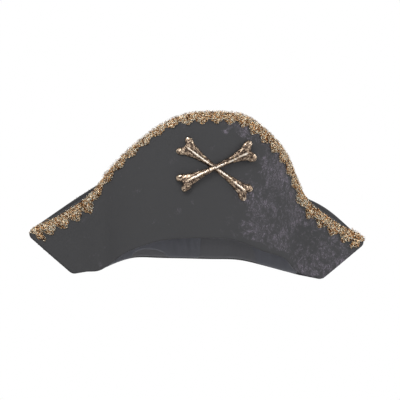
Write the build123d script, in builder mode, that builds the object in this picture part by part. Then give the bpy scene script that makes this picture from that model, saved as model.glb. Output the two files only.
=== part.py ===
from build123d import *
from math import copysign, cos, radians, sin
import os

# Bicorn pirate hat, in millimetres. Two stiffened velvet flaps stand round a soft lined crown and are
# sewn together at the two wing ends. The front flap is bell shaped and carries two crossed bones.
# Frame: +Z up, the front of the hat faces -Y, the wings point along X.
# Origin: the centre of the head opening, half way up between its front and rear edges.

# ---- outlines of the flaps, seen from the front ---------------------------------------------------
TIP_X = 221.0                # corner of a wing tip, before rounding
TIP_Z = 14.0
TIP_RADIUS = 8.0
HEEL_X = 161.0               # lower corner of a wing, before rounding
HEEL_Z = -35.4
HEEL_RADIUS = 9.0
SHOULDER_X = 137.5           # hollow where the front flap's wing meets its bell
SHOULDER_Z = 66.5
SHOULDER_RADIUS = 14.0
BELL_START = (129, 79)       # the bell leaves the shoulder here
BELL = [(113, 102), (90, 125.5), (56, 147.5), (0, 158.3)]
REAR_RISE = 0.8              # the rear wings stand a little higher than the front ones
REAR_WING_END = (130, 76)
REAR_ARCH = [(96, 100), (52, 123), (0, 132)]
FRONT_HEM = [(0, 3), (40, 2.3), (64, 0), (86, -6), (109, -16), (134, -30)]
REAR_HEM = [(0, -3.5), (40, -4), (69, -6), (90, -12.5), (109, -20.5), (134, -30.5)]

# ---- flaps, seen from above -----------------------------------------------------------------------
# Each flap is a sheet lofted between two plan curves and then cut to its outline.
END_RUN = 10.0               # the upper edge starts this far below the tip, on the end edge

SHEET_LOW = -45.0
SHEET_HIGH = 175.0
REACH = 110.0                # half length of every cut along Y
WING_X = 226.0
PLAN_LOW = [(0, 70), (45, 64.5), (90, 42), (112, 21), (126, 6.5), (142, 3.8), (180, 3.6), (WING_X, 3.5)]
FRONT_PLAN_HIGH = [(0, 101), (45, 95), (90, 72), (118, 41), (138, 19), (156, 12), (186, 8), (WING_X, 3.5)]
REAR_PLAN_HIGH = [(0, 86), (45, 80.5), (90, 60), (118, 36), (138, 18), (156, 12), (186, 8), (WING_X, 3.5)]
VELVET = 0.9                 # layers, measured front to back
CORE = 1.6
LINING = 0.7
FLAP = VELVET + CORE + LINING

# ---- crown ----------------------------------------------------------------------------------------
# Half widths and half depths of the lens-shaped crown at a few heights.
CROWN_LEVELS = [(-40, 130, 78), (6, 130, 78), (96, 88, 46)]
CROWN_WALL = 1.2
SATIN = 0.6
SWEATBAND = 1.0
SWEATBAND_WIDTH = 28.0

# ---- crossed bones --------------------------------------------------------------------------------
EMBLEM_X = -1.6
EMBLEM_Z = 90.0
OVER_SLIDE = 3.6             # how far each bone's middle lies past the crossing, along the bone
UNDER_SLIDE = 2.8
BONE_LIFT = 3.2              # the over bone rides this far in front of the under bone
KNOB_CENTRE = 50.0           # from a bone's middle to its knobs
KNOB_SPREAD = 7.8            # from the bone's axis to each of its two knobs
KNOB_RADIUS = 4.8
NECK_AT = 42.0
NECK_RADIUS = 6.6
SHAFT_RADIUS = 3.8
OVER_TILT = 26.2
UNDER_TILT = -35.0
SEAT_DEPTH = 2.4             # how much of the under bone runs on beneath the over bone
TACK_AT = 22.0               # from a bone's middle to each thread tack
TACK_THREAD = 0.5
TACK_WIDTH = 2.0

# ---- gold lace ------------------------------------------------------------------------------------
BRAID_WIDTH = 7.6
FRONT_LACE_OVERHANG = 1.2    # the front lace stands proud of the flap's edge
REAR_LACE_OVERHANG = -1.0    # the rear lace stops short of it
LACE_THICKNESS = 1.6
SCALLOP_RADIUS = 7.2
SCALLOP_DROP = 9.5           # centre of a scallop below the flap's edge
SCALLOP_PITCH = 18.6
SCALLOPS = 14                # on each side of the middle one
LACE_ENDS = [(WING_X, 7.0), (190, 22.0)]   # nothing of the lace lies below these heights

WING_SEAM_WIDTH = 7.0


def keep(piece, label):
    """Names a finished piece and writes it to its own STEP file."""
    piece.label = label
    export_step(piece, f"parts/{label}.step")


def both_sides(points):
    """Half a plan curve, from the middle outwards, continued to the other side."""
    return [(-x, y) for x, y in reversed(points[1:])] + points


def behind_face(low, high, inset):
    """Everything behind the front flap's outer face once that face is moved back by the inset."""
    with BuildPart() as space:
        for height, points in ((SHEET_LOW, low), (SHEET_HIGH, high)):
            curve = [(x, inset - depth) for x, depth in both_sides(points)]
            with BuildSketch(Plane.XY.offset(height)):
                with BuildLine():
                    Spline(*curve)
                    Polyline(curve[-1], (WING_X, REACH), (-WING_X, REACH), curve[0])
                make_face()
        loft()
    return space.part


def behind_front(inset):
    return behind_face(PLAN_LOW, FRONT_PLAN_HIGH, inset)


def before_rear(inset):
    return behind_face(PLAN_LOW, REAR_PLAN_HIGH, inset).mirror(Plane.XZ)


def upper_edge(tip_z, corners, arch):
    """Half of a flap's upper edge, from just under the wing tip to the middle of the bell."""
    with BuildLine() as edge:
        run = END_RUN / (TIP_Z - HEEL_Z)
        wing = FilletPolyline(
            (TIP_X - run * (TIP_X - HEEL_X), tip_z - END_RUN),
            (TIP_X, tip_z),
            *corners,
            radius=[TIP_RADIUS, SHOULDER_RADIUS][:len(corners)],
        )
        Spline(wing @ 1, *arch, tangents=[wing % 1, (-1, 0)])
    return edge.wire()


def outline(edge, hem):
    """The whole flap seen from the front, closed below by its hem."""
    with BuildSketch(Plane.XZ) as shape:
        with BuildLine():
            add(edge)
            heel = FilletPolyline(
                hem[-1], (HEEL_X, HEEL_Z), edge @ 0, radius=HEEL_RADIUS,
            )
            Spline(*hem, tangents=[(1, 0), heel % 0])
            mirror(about=Plane.YZ)
        make_face()
    return shape.sketch


def flap_layer(fill, shape, outer, inner):
    """One sheet of a flap, between two insets from its outer face, cut to the flap's outline."""
    with BuildPart() as sheet:
        add(fill(outer))
        add(fill(inner), mode=Mode.SUBTRACT)
        extrude(shape, amount=REACH, both=True, mode=Mode.INTERSECT)
    return sheet.part


def lace(fill, edge, shape, overhang):
    """Scalloped lace lying on a flap's outer face along its upper edge."""
    with BuildSketch(Plane.XZ) as border:
        add(shape)
        offset(amount=overhang)
    with BuildSketch(Plane.XZ) as pattern:
        add(border.sketch)
        with BuildSketch(Plane.XZ, mode=Mode.SUBTRACT):
            add(shape)
            offset(amount=-BRAID_WIDTH)
        for half_width, top in LACE_ENDS:
            with Locations((0, top)):
                Rectangle(2 * half_width, SHEET_HIGH, align=(Align.CENTER, Align.MAX), mode=Mode.SUBTRACT)
        for step in range(-SCALLOPS, SCALLOPS + 1):
            along = 1 - abs(step) * SCALLOP_PITCH / edge.length
            inwards = (edge % along).rotate(Axis.Z, 90)
            centre = edge @ along + inwards * SCALLOP_DROP
            with Locations((copysign(centre.X, step), centre.Y)):
                Circle(SCALLOP_RADIUS)
        add(border.sketch, mode=Mode.INTERSECT)
    # Offset curves are turned into plain splines, which every STEP reader knows.
    return flap_layer(fill, pattern.sketch.to_splines(), -LACE_THICKNESS, 0)


os.makedirs("parts", exist_ok=True)

# ---- flaps ----------------------------------------------------------------------------------------
front_edge = upper_edge(TIP_Z, [(SHOULDER_X, SHOULDER_Z), BELL_START], BELL)
front_outline = outline(front_edge, FRONT_HEM)
rear_edge = upper_edge(TIP_Z + REAR_RISE, [REAR_WING_END], REAR_ARCH)
rear_outline = outline(rear_edge, REAR_HEM)

front_flap_layers = [
    ("front_flap_velvet", 0, VELVET),
    ("front_flap_core", VELVET, VELVET + CORE),
    ("front_flap_lining", VELVET + CORE, FLAP),
]
for label, outer, inner in front_flap_layers:
    keep(flap_layer(behind_front, front_outline, outer, inner), label)
    keep(flap_layer(before_rear, rear_outline, outer, inner), label.replace("front", "rear"))

keep(lace(behind_front, front_edge, front_outline, FRONT_LACE_OVERHANG), "front_lace_trim")
keep(lace(before_rear, rear_edge, rear_outline, REAR_LACE_OVERHANG), "rear_lace_trim")


# ---- wing seams -----------------------------------------------------------------------------------
def between_flaps(inset):
    """The space between the two linings, shrunk by the inset."""
    return behind_front(FLAP + inset) & before_rear(FLAP + inset)


with BuildSketch(Plane.XZ) as seam_strip:
    with BuildLine():
        Line((HEEL_X, HEEL_Z), front_edge @ 0)
    trace(line_width=2 * WING_SEAM_WIDTH)
    add(front_outline, mode=Mode.INTERSECT)

with BuildPart() as right_wing_seam:
    extrude(seam_strip.sketch, amount=REACH, both=True)
    add(between_flaps(0), mode=Mode.INTERSECT)
keep(right_wing_seam.part, "right_wing_seam")
keep(right_wing_seam.part.mirror(Plane.YZ), "left_wing_seam")


# ---- crown ----------------------------------------------------------------------------------------
def below_hem(hem, reach, lift):
    """The space under a hem on one side of the hat, with the hem raised by the lift."""
    floor = CROWN_LEVELS[0][0]
    with BuildPart() as space:
        with BuildSketch(Plane.XZ):
            with BuildLine():
                ends = [(x, z + lift) for x, z in hem]
                Spline(*ends, tangents=[(1, 0), (hem[-1][0] - hem[-2][0], hem[-1][1] - hem[-2][1])])
                Polyline(ends[-1], (WING_X, ends[-1][1]), (WING_X, 2 * floor), (0, 2 * floor))
                mirror(about=Plane.YZ)
            make_face()
        extrude(amount=reach)
    return space.part


def crown_space(inset):
    """The crown as a filled solid, shrunk by the inset, resting against both flaps at its foot."""
    with BuildPart() as space:
        for height, half_width, half_depth in CROWN_LEVELS:
            width = half_width - 1.15 * inset
            depth = half_depth - inset
            with BuildSketch(Plane.XY.offset(height - inset)):
                with BuildLine():
                    ThreePointArc((-width, 0), (0, depth), (width, 0))
                    ThreePointArc((width, 0), (0, -depth), (-width, 0))
                make_face()
        loft(ruled=True)
        add(between_flaps(inset), mode=Mode.INTERSECT)
        add(below_hem(FRONT_HEM, REACH, 0), mode=Mode.SUBTRACT)
        add(below_hem(REAR_HEM, -REACH, 0), mode=Mode.SUBTRACT)
    return space.part


shell_inside = crown_space(CROWN_WALL)
lining_inside = crown_space(CROWN_WALL + SATIN)

with BuildPart() as crown_shell:
    add(crown_space(0))
    add(shell_inside, mode=Mode.SUBTRACT)

crown_seam = Plane.XY.offset(CROWN_LEVELS[-1][0] - CROWN_WALL)
with BuildPart() as crown_top:
    add(crown_shell.part)
    split(bisect_by=crown_seam, keep=Keep.TOP)
keep(crown_top.part, "crown_top")

for label, half in (("crown_front", Keep.TOP), ("crown_rear", Keep.BOTTOM)):
    with BuildPart() as crown_side:
        add(crown_shell.part)
        split(bisect_by=crown_seam, keep=Keep.BOTTOM)
        split(bisect_by=Plane.XZ, keep=half)
    keep(crown_side.part, label)

with BuildPart() as crown_lining:
    add(shell_inside)
    add(lining_inside, mode=Mode.SUBTRACT)
keep(crown_lining.part, "crown_lining")

with BuildPart() as sweatband:
    add(below_hem(FRONT_HEM, REACH, SWEATBAND_WIDTH))
    add(below_hem(REAR_HEM, -REACH, SWEATBAND_WIDTH))
    add(lining_inside, mode=Mode.INTERSECT)
    add(crown_space(CROWN_WALL + SATIN + SWEATBAND), mode=Mode.SUBTRACT)
keep(sweatband.part, "sweatband")


# ---- crossed bones --------------------------------------------------------------------------------
face_lean = (FRONT_PLAN_HIGH[0][1] - PLAN_LOW[0][1]) / (SHEET_HIGH - SHEET_LOW)
emblem_plane = Plane(
    origin=(EMBLEM_X, -PLAN_LOW[0][1] - face_lean * (EMBLEM_Z - SHEET_LOW), EMBLEM_Z),
    x_dir=(1, 0, 0),
    z_dir=(0, -1, -face_lean),
)


# Local X of a bone's plane runs along it, local Z out of the front of the hat.
def bone(plane):
    """A moulded bone: a turned shaft with two knobs at each end, and sides that run back to the flap."""
    with BuildPart() as solid:
        with BuildSketch(plane) as half:
            with BuildLine():
                side = Polyline((0, 0), (0, SHAFT_RADIUS))
                Spline(
                    side @ 1, (TACK_AT, SHAFT_RADIUS), (NECK_AT, NECK_RADIUS), (KNOB_CENTRE, NECK_RADIUS),
                    tangents=[(1, 0), (1, 0)],
                )
                Polyline((KNOB_CENTRE, NECK_RADIUS), (KNOB_CENTRE, 0), (0, 0))
            make_face()
        shaft = revolve(axis=Axis(plane.origin, plane.x_dir))
        mirror(shaft, about=Plane(plane.origin, z_dir=plane.x_dir))
        knobs = GridLocations(2 * KNOB_CENTRE, 2 * KNOB_SPREAD, 2, 2)
        with Locations(plane):
            with knobs:
                Sphere(KNOB_RADIUS)
        with BuildSketch(plane):
            add(half.sketch_local)
            mirror(about=Plane.XZ)
            mirror(about=Plane.YZ)
            with knobs:
                Circle(KNOB_RADIUS)
        extrude(amount=-2 * KNOB_RADIUS)
        add(behind_front(0), mode=Mode.SUBTRACT)
    return solid.part


def bone_plane(lift, tilt, slide):
    """A bone's own plane, turned about the crossing and slid along the bone."""
    turned = emblem_plane.location * Location((0, 0, lift), (0, 0, tilt))
    return Plane(turned * Location((slide, 0, 0)))


under_plane = bone_plane(0, UNDER_TILT, UNDER_SLIDE)
over_plane = bone_plane(BONE_LIFT, OVER_TILT, OVER_SLIDE)
under_whole = bone(under_plane)
over_whole = bone(over_plane)

with BuildPart() as crossing_seat:
    with Locations(under_plane):
        Box(4 * SHAFT_RADIUS, 4 * SHAFT_RADIUS, 4 * SEAT_DEPTH)
    add(behind_front(-SEAT_DEPTH), mode=Mode.INTERSECT)
    add(under_whole, mode=Mode.INTERSECT)

with BuildPart() as bone_over:
    add(over_whole)
    add(crossing_seat.part, mode=Mode.SUBTRACT)
keep(bone_over.part, "bone_over")

with BuildPart() as bone_under:
    add(under_whole)
    add(bone_over.part, mode=Mode.SUBTRACT)
keep(bone_under.part, "bone_under")


def tacks(plane, whole_bone):
    """Two thread loops over a bone's shaft, ending on the velvet."""
    loop_radius = SHAFT_RADIUS + TACK_THREAD
    with BuildPart() as loops:
        for along in (-TACK_AT, TACK_AT):
            with BuildSketch(Plane(plane.origin + plane.x_dir * along, x_dir=plane.z_dir, z_dir=plane.x_dir)):
                Circle(loop_radius)
                Rectangle(2 * KNOB_RADIUS, 2 * loop_radius, align=(Align.MAX, Align.CENTER))
            extrude(amount=TACK_WIDTH / 2, both=True)
        add(behind_front(0), mode=Mode.SUBTRACT)
        add(whole_bone, mode=Mode.SUBTRACT)
    return loops.part


keep(tacks(over_plane, over_whole), "bone_over_tacks")
keep(tacks(under_plane, under_whole), "bone_under_tacks")
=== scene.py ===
"""Looks of the bicorn pirate hat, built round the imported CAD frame. Metres, +Z up, front towards -Y."""

import math
import random
from contextlib import contextmanager
from itertools import product

import bmesh
import bpy
import numpy as np
from mathutils import Euler, Matrix, Quaternion, Vector, noise
from mathutils.bvhtree import BVHTree


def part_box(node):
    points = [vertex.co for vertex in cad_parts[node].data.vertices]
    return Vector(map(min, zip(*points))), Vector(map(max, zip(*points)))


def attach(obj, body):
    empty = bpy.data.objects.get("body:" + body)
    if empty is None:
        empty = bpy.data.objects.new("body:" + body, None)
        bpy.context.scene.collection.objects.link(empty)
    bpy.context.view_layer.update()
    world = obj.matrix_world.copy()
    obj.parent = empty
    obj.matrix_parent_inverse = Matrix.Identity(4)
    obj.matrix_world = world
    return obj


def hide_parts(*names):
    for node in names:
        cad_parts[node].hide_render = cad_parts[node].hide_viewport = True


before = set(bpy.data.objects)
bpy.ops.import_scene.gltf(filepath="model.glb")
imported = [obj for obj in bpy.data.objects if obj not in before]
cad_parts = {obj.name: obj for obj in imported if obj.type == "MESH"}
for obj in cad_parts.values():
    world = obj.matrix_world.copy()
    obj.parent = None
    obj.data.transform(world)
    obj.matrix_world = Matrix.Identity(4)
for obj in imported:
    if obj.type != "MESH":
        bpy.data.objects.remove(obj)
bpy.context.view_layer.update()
rng = random.Random(11)
BODY = "root"
MM = 0.001

# ---- sizes of the sewing, in metres ----
FLAP_THICKNESS = 3.2 * MM
EDGE_RADIUS = FLAP_THICKNESS / 2
TURN_UNDER = 8 * MM          # velvet folded over to the back of a flap
TURNED_STRIP = 2.3           # its length along both edges and round the fold, as a share of the upper edge
CORE_INSET = 2.2 * MM
LINING_INSET = 6.5 * MM
CLOTH = 0.5 * MM             # drawn thickness of one layer of cloth
# The hand-shaped edges: middle of each place along X, its half width, and how far it is pushed up.
FRONT_PUSHES = [(-0.100, 0.050, -3.0 * MM), (-0.015, 0.065, -1.4 * MM), (0.075, 0.040, -1.6 * MM)]
FRONT_HEM_PUSHES = [(-0.124, 0.030, -3.2 * MM), (0.068, 0.050, -8.0 * MM)]
REAR_PUSHES = [(-0.157, 0.055, 1.4 * MM), (0.171, 0.047, 6.2 * MM)]


# ---- small helpers ----
def smoothstep(low, high, value):
    t = np.clip((value - low) / (high - low), 0, 1)
    return t * t * (3 - 2 * t)


def bump_between(value, low, high, soft, soft_end=None):
    """1 between low and high, 0 outside, with soft ends that reach this far to either side of them."""
    soft_end = soft_end or soft
    rise = smoothstep(low - soft, low + soft, value)
    return rise * (1 - smoothstep(high - soft_end, high + soft_end, value))


def add_object(name, data):
    """A new object in the scene for a mesh, a light or a camera."""
    obj = bpy.data.objects.new(name, data)
    bpy.context.scene.collection.objects.link(obj)
    return obj


def shade_smooth(mesh):
    mesh.polygons.foreach_set("use_smooth", [True] * len(mesh.polygons))
    mesh.update()


def make_mesh(name, verts, faces, material):
    mesh = bpy.data.meshes.new(name)
    mesh.from_pydata([tuple(v) for v in verts], [], [tuple(int(i) for i in f) for f in faces])
    mesh.materials.append(material)
    shade_smooth(mesh)
    return add_object(name, mesh)


@contextmanager
def edited(mesh):
    """The mesh's geometry, open for editing and written back at the end."""
    work = bmesh.new()
    work.from_mesh(mesh)
    yield work
    work.to_mesh(mesh)
    work.free()


def move_vertices(mesh, places):
    mesh.vertices.foreach_set("co", places.astype(np.float32).ravel())


def keep_values(mesh, name, values):
    """Stores a number at each vertex, for the material to read."""
    mesh.attributes.new(name, "FLOAT", "POINT").data.foreach_set("value", values)


def finish_piece(obj, slot, *nodes):
    """The piece rides on the hat and stands for its CAD nodes, which are hidden; slot is not used."""
    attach(obj, BODY)
    if nodes:
        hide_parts(*nodes)


def bake_modifiers(obj):
    """Turns the object's modifiers into plain mesh."""
    graph = bpy.context.evaluated_depsgraph_get()
    mesh = bpy.data.meshes.new_from_object(obj.evaluated_get(graph))
    obj.modifiers.clear()
    obj.data = mesh


def thicken(obj, thickness):
    solid = obj.modifiers.new("thickness", "SOLIDIFY")
    solid.thickness = thickness
    solid.offset = -1
    bake_modifiers(obj)


def weigh(obj, name, weight):
    """Makes a vertex group from a weight for each height, and returns its name."""
    group = obj.vertex_groups.new(name=name)
    for vertex in obj.data.vertices:
        share = float(weight(vertex.co.z))
        if share > 0:
            group.add([vertex.index], share, "REPLACE")
    return group.name


def relax(obj, times, group=""):
    smoothing = obj.modifiers.new("relax", "SMOOTH")
    smoothing.iterations = times
    smoothing.vertex_group = group
    bake_modifiers(obj)


def fix_normals(obj):
    with edited(obj.data) as work:
        bmesh.ops.recalc_face_normals(work, faces=work.faces)
    return obj


def grid_faces(rows, columns, closed=False):
    """Quads of a grid of rows x columns vertices; closed joins the last column to the first."""
    faces = []
    for a in range(0, (rows - 1) * columns, columns):
        for c in range(columns if closed else columns - 1):
            d = (c + 1) % columns
            faces.append((a + c, a + d, a + columns + d, a + columns + c))
    return faces


def unit(vectors):
    return vectors / np.maximum(np.linalg.norm(vectors, axis=-1, keepdims=True), 1e-12)


def distances(points):
    """How far each point lies from the first, measured along the line through them all."""
    return np.concatenate([[0], np.cumsum(np.linalg.norm(np.diff(points, axis=0), axis=1))])


def between(at, marks, rows):
    """The rows that belong to the marks, interpolated at other marks."""
    return np.stack([np.interp(at, marks, rows[:, k]) for k in range(rows.shape[1])], -1)


class Threads:
    """Collects many threads as tubes in one mesh. A section of unequal radii is a flat metal strip."""

    def __init__(self):
        self.verts = []
        self.faces = []
        self.tones_and_glints = []        # random tone of the metal at each vertex, 0 to 1; the gold yarn paints its highest values as glints
        self.facets = []       # faces of the knots, which stay flat

    def add(self, path, normals, wide, thick=None, sides=5):
        """wide and thick are half sizes; thick is square to the cloth."""
        path = np.asarray(path, float)
        thick = thick or wide
        count = len(path)
        tangents = unit(np.gradient(path, axis=0))
        side = unit(np.cross(tangents, normals))
        up = np.cross(side, tangents)
        start = len(self.verts)
        for k in range(sides):
            angle = 2 * math.pi * (k + 0.5) / sides
            self.verts.extend(path + side * (wide * math.cos(angle)) + up * (thick * math.sin(angle)))
        for k in range(sides):
            low = start + k * count
            high = start + ((k + 1) % sides) * count
            for i in range(count - 1):
                self.faces.append((low + i, low + i + 1, high + i + 1, high + i))
        for i in (0, count - 1):
            cap = [start + k * count + i for k in range(sides)]
            self.faces.append(cap[::-1] if i else cap)
        # Random tone for each pair of rings; in the gold yarn the highest become painted glints.
        glints = np.repeat([rng.random() for _ in range(count // 2 + 1)], 2)[:count]
        self.tones_and_glints.extend(list(glints) * sides)

    def knot(self, place, size):
        """A faceted bead of bunched metal thread."""
        turn = Euler([rng.uniform(0, 6.3) for _ in range(3)]).to_matrix()
        start = len(self.verts)
        for axis in ((1, 0, 0), (-1, 0, 0), (0, 1, 0), (0, -1, 0), (0, 0, 1), (0, 0, -1)):
            corner = turn @ Vector(axis) * (size * rng.uniform(0.75, 1.2))
            self.verts.append(np.array(Vector(place) + corner))
        for corners in product((0, 1), (2, 3), (4, 5)):
            self.facets.append(len(self.faces))
            self.faces.append([start + corner for corner in corners])
        self.tones_and_glints.extend([rng.random()] * 6)

    def build(self, name, material, slot, *nodes):
        obj = make_mesh(name, self.verts, self.faces, material)
        for index in self.facets:
            obj.data.polygons[index].use_smooth = False
        keep_values(obj.data, "tone_and_glint", self.tones_and_glints)
        finish_piece(fix_normals(obj), slot, *nodes)


# ---- materials ----
class NodeTree:
    """The nodes of a material or a world."""

    def __init__(self, owner):
        owner.use_nodes = True
        self.nodes = owner.node_tree.nodes
        self.links = owner.node_tree.links

    def feed(self, socket, value):
        """Links another node's output to a socket, or sets the socket to a plain value."""
        if isinstance(value, bpy.types.NodeSocket):
            self.links.new(value, socket)
        else:
            socket.default_value = value

    def node(self, kind, **inputs):
        """Adds a node. Inputs are named with underscores for spaces."""
        node = self.nodes.new(f"ShaderNode{kind}")
        for name, value in inputs.items():
            self.feed(node.inputs[name.replace("_", " ")], value)
        return node


class Look(NodeTree):
    """A node material: a shader with helpers for the textures that drive it."""

    def __init__(self, name, **sockets):
        self.material = bpy.data.materials.new(name)
        super().__init__(self.material)
        self.shader = self.nodes["Principled BSDF"]
        for socket, value in sockets.items():
            self.set(socket.replace("_", " "), value)
        self.place = self.node("TexCoord").outputs["Object"]

    def set(self, socket, value):
        self.feed(self.shader.inputs[socket], value)

    def attribute(self, name):
        """The number that the mesh keeps at each vertex under this name."""
        node = self.node("Attribute")
        node.attribute_name = name
        return node.outputs["Fac"]

    def stretched(self, scale, turn=(0, 0, 0)):
        """Object coordinates scaled by a different amount along each axis."""
        return self.node("Mapping", Vector=self.place, Scale=scale, Rotation=turn).outputs[0]

    def noise(self, scale, detail=4.0, rough=0.6, vector=None, distortion=0.0):
        texture = self.node("TexNoise", Scale=scale, Detail=detail, Roughness=rough, Distortion=distortion)
        self.feed(texture.inputs["Vector"], vector or self.place)
        return texture.outputs["Fac"]

    def wave(self, scale, direction, distortion):
        texture = self.node("TexWave", Vector=self.place, Scale=scale, Distortion=distortion)
        texture.bands_direction = direction
        return texture.outputs["Fac"]

    def math(self, operation, a, b=0.0):
        node = self.node("Math")
        node.operation = operation
        self.feed(node.inputs[0], a)
        self.feed(node.inputs[1], b)
        return node.outputs[0]

    def times(self, a, b):
        return self.math("MULTIPLY", a, b)

    def plus(self, a, b):
        return self.math("ADD", a, b)

    def ramp(self, value, *stops):
        """stops are (position, (r, g, b)) or (position, grey)."""
        node = self.node("ValToRGB", Fac=value)
        elements = node.color_ramp.elements
        while len(elements) < len(stops):
            elements.new(0.5)
        for element, (position, color) in zip(elements, stops):
            element.position = position
            rgb = (color,) * 3 if isinstance(color, (int, float)) else color
            element.color = (*rgb, 1)
        return node.outputs["Color"]

    def mix(self, factor, a, b):
        """b where the factor is 1, a where it is 0; each is a colour or an output."""
        node = self.node("Mix")
        node.data_type = "RGBA"
        self.feed(node.inputs["Factor"], factor)
        for socket, value in ((node.inputs[6], a), (node.inputs[7], b)):
            self.feed(socket, (*value, 1) if isinstance(value, tuple) else value)
        return node.outputs[2]

    def bump(self, height, distance, strength=1.0):
        """Lays a relief over the one that the shader has so far."""
        node = self.node("Bump", Height=height, Distance=distance, Strength=strength)
        for earlier in self.shader.inputs["Normal"].links:
            self.links.new(earlier.from_socket, node.inputs["Normal"])
        self.set("Normal", node.outputs[0])


def crushed_velvet(name):
    """Black crushed pile. Where the cloth's stored nap value is high, paler nap shows in fine veins: partly
    the crushed pattern, partly painted sheen.
    """
    look = Look(
        name, Roughness=0.85, Specular_IOR_Level=0.2,
        Sheen_Weight=0.08, Sheen_Roughness=0.45, Sheen_Tint=(0.8, 0.77, 0.88, 1),
    )
    blotch = look.noise(95, detail=5, rough=0.65, distortion=1.4)
    pushed = look.times(look.math("SUBTRACT", look.attribute("nap_and_sheen"), 1.0), 0.45)
    patch = look.ramp(look.plus(blotch, pushed), (0.34, 0.0), (0.60, 1.0))
    drawn_out = look.stretched((230, 170, 140), (0, 0.45, 0))
    vein = look.noise(1, detail=4, rough=0.65, vector=drawn_out, distortion=1.6)
    net = look.ramp(look.math("ABSOLUTE", look.math("SUBTRACT", vein, 0.5)), (0.0, 1.0), (0.07, 0.0))
    speck = look.ramp(look.noise(520, detail=3, rough=0.7), (0.42, 0.25), (0.60, 1.0))
    nap = look.times(net, speck)
    dust = look.times(look.ramp(look.noise(70, detail=3), (0.63, 0.0), (0.75, 0.3)), nap)
    amount = look.math("MAXIMUM", look.times(patch, look.plus(nap, 0.05)), dust)
    # The pale colour is the paler nap: crushed pattern and painted sheen.
    look.set("Base Color", look.mix(amount, (0.0475, 0.0475, 0.0495), (0.26, 0.225, 0.28)))
    look.bump(look.noise(1, detail=3, rough=0.7, vector=look.stretched((1900, 1900, 900))), 0.0004, 0.4)
    look.bump(amount, 0.0010, 0.4)
    return look.material


def woven(name, dark, light, pitch, **sockets):
    """Plain weave of the given thread pitch in metres."""
    look = Look(name, **sockets)
    bands = 1 / pitch / 3.2
    weave = look.times(look.wave(bands, "X", 0.3), look.wave(bands, "Z", 0.3))
    shade = look.times(look.plus(weave, look.noise(40)), 0.55)
    look.set("Base Color", look.mix(shade, dark, light))
    look.bump(weave, pitch / 3, 0.5)
    return look.material


def satin(name):
    look = Look(name, Roughness=0.5, Specular_IOR_Level=0.25, Anisotropic=0.4, Sheen_Weight=0.05)
    sweep = look.noise(30, detail=2, vector=look.stretched((2.2, 2.2, 0.5)))
    look.set("Base Color", look.ramp(sweep, (0.35, (0.142, 0.145, 0.164)), (0.7, (0.163, 0.166, 0.187))))
    look.bump(look.wave(900, "Z", 1.5), 0.00008, 0.35)
    return look.material


def metal_thread(name, deep, mid, bright, glint):
    """Metallic boucle yarn in grains of thread of random tone, with painted glints on the brightest grains
    and painted shade in the gaps between them.
    """
    look = Look(name, Metallic=1.0)
    grain = look.node("TexVoronoi", Vector=look.place, Scale=640)
    tint = look.node("SeparateColor", Color=grain.outputs["Color"])
    shade = look.plus(look.times(tint.outputs[0], 0.7), look.times(look.attribute("tone_and_glint"), 0.3))
    # Painted shade between the grains, darker towards each grain's edge.
    gap_shade = look.ramp(grain.outputs["Distance"], (0.35, 1.0), (0.8, 0.5))
    # The bright and glint stops are painted highlights and glints.
    metal = look.ramp(shade, (0.19, deep), (0.30, mid), (0.46, bright), (0.62, glint))
    look.set("Base Color", look.mix(gap_shade, deep, metal))
    look.set("Roughness", look.ramp(tint.outputs[1], (0.2, 0.14), (0.8, 0.42)))
    look.bump(look.wave(750, "DIAGONAL", 4), 0.0003, 0.8)
    return look.material


def antique_gold(name):
    """Worn metallised casting: brown in the hollows, and bright on the ridges and the lobes' outer faces,
    partly from wear and partly as a painted highlight.
    """
    look = Look(name, Metallic=1.0)
    wear_and_highlight = look.plus(look.attribute("wear_and_highlight"), look.times(look.noise(800, rough=0.75), 0.5))
    # The darkest stops are the brown of the hollows; the palest is the painted highlight.
    look.set("Base Color", look.ramp(
        wear_and_highlight, (0.36, (0.055, 0.040, 0.032)), (0.56, (0.26, 0.185, 0.135)), (0.78, (0.66, 0.52, 0.38)),
        (1.0, (1.0, 0.93, 0.84)),
    ))
    look.set("Roughness", look.ramp(wear_and_highlight, (0.4, 0.42), (0.95, 0.14)))
    look.bump(look.noise(900, rough=0.75), 0.0004, 0.5)
    return look.material


def plain_thread(name, dark, light):
    look = Look(name, Roughness=0.7, Sheen_Weight=0.2)
    look.set("Base Color", look.mix(look.noise(300), dark, light))
    look.bump(look.wave(1500, "DIAGONAL", 2), 0.0001, 0.6)
    return look.material


VELVET = crushed_velvet("crushed_velvet")
CROWN_CLOTH = woven(
    "crown_felt", (0.020, 0.020, 0.022), (0.045, 0.045, 0.050), 0.9 * MM, Roughness=0.95, Sheen_Weight=0.3,
)
BLACK_CLOTH = woven(
    "black_lining_cloth", (0.022, 0.022, 0.024), (0.062, 0.060, 0.066), 0.7 * MM, Roughness=0.8,
)
BUCKRAM = woven("buckram_weave", (0.02, 0.02, 0.02), (0.12, 0.12, 0.115), 2.2 * MM, Roughness=0.9)
BAND_CLOTH = woven(
    "band_ribbon", (0.128, 0.127, 0.136), (0.167, 0.166, 0.177), 1.6 * MM, Roughness=0.8, Sheen_Weight=0.2,
)
SATIN = satin("navy_satin")
# Its last two colours are the painted highlight and the painted glint.
GOLD_YARN = metal_thread(
    "gold_yarn", (0.12, 0.048, 0.018), (0.76, 0.40, 0.18), (1.0, 0.71, 0.39), (1.0, 0.93, 0.77),
)
ANTIQUE_GOLD = antique_gold("antique_gold")
BLACK_THREAD = plain_thread("black_thread", (0.012, 0.012, 0.013), (0.06, 0.06, 0.065))
GOLD_THREAD = plain_thread("gold_sewing_thread", (0.20, 0.12, 0.05), (0.46, 0.33, 0.16))


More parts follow.
